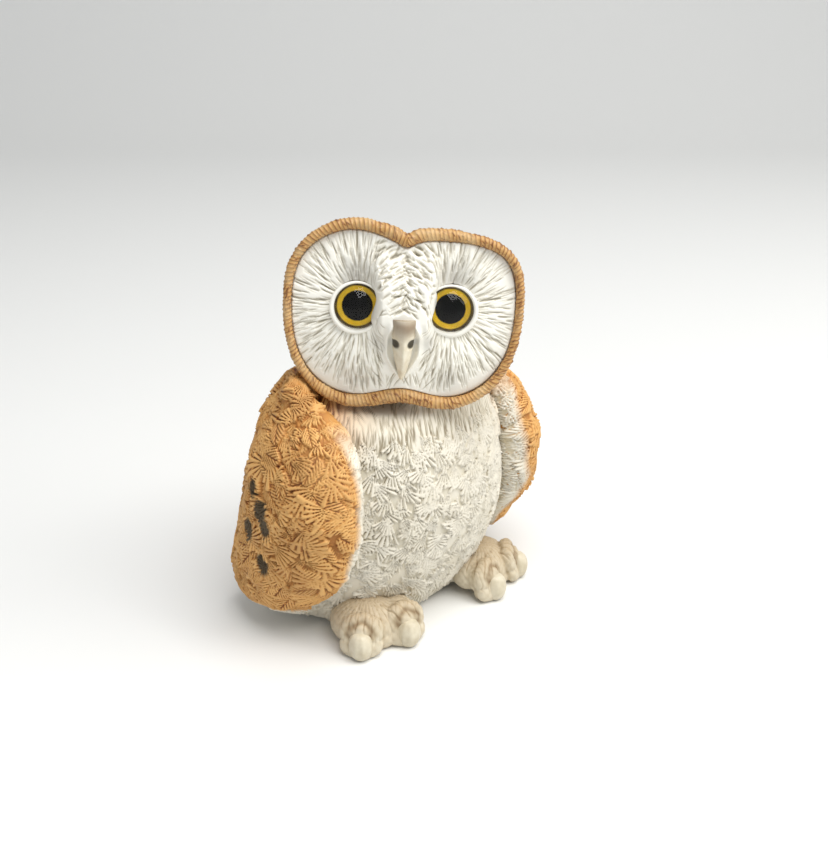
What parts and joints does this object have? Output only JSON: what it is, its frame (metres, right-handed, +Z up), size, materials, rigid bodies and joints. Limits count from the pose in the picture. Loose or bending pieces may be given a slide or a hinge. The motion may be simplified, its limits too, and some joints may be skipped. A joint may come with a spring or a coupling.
{
  "type": "owl figurine",
  "caption": "Seated barn owl figurine in painted cast resin with glass eyes, heart-shaped face turned over its right wing, flat underside to stand on.",
  "frame": {"origin": "on the resting plane, on the upright axis through the neck, just inside the front of the base", "axes": "+Z up, the body faces -Y, +X is on the bird's left; the face is turned 41 degrees towards the bird's right (-X)"},
  "size_m": [0.1144, 0.0917, 0.1454],
  "materials": {
    "wing_paint": "matt orange-brown paint with dark washes over cast resin",
    "white_paint": "matt off-white paint with grey-beige in the grooves",
    "face_paint": "matt warm white paint",
    "ruff_paint": "golden tan paint, dry-brushed cream",
    "foot_paint": "matt pale beige paint",
    "claw_paint": "satin cream paint",
    "beak_paint": "satin cream paint with brown at the nostrils",
    "eye_glass": "clear polished glass",
    "iris_paint": "olive yellow enamel behind the glass",
    "pupil_paint": "black enamel behind the glass",
    "putty": "dull bedding putty",
    "plug": "plain off-white resin"
  },
  "bodies": {
    "root": {"base_plug": "plug", "beak": "beak_paint", "body_shell": "white_paint", "facial_disc": "face_paint", "facial_ruff": "ruff_paint", "head_shell": "wing_paint", "left_eye_glass": "eye_glass", "left_eye_putty": "putty", "left_eyelid": "face_paint", "left_foot": "foot_paint", "left_inner_claw": "claw_paint", "left_iris": "iris_paint", "left_outer_claw": "claw_paint", "left_pupil": "pupil_paint", "left_wing": "wing_paint", "right_eye_glass": "eye_glass", "right_eye_putty": "putty", "right_eyelid": "face_paint", "right_foot": "foot_paint", "right_inner_claw": "claw_paint", "right_iris": "iris_paint", "right_outer_claw": "claw_paint", "right_pupil": "pupil_paint", "right_wing": "wing_paint", "tail": "wing_paint"}
  },
  "joints": []
}
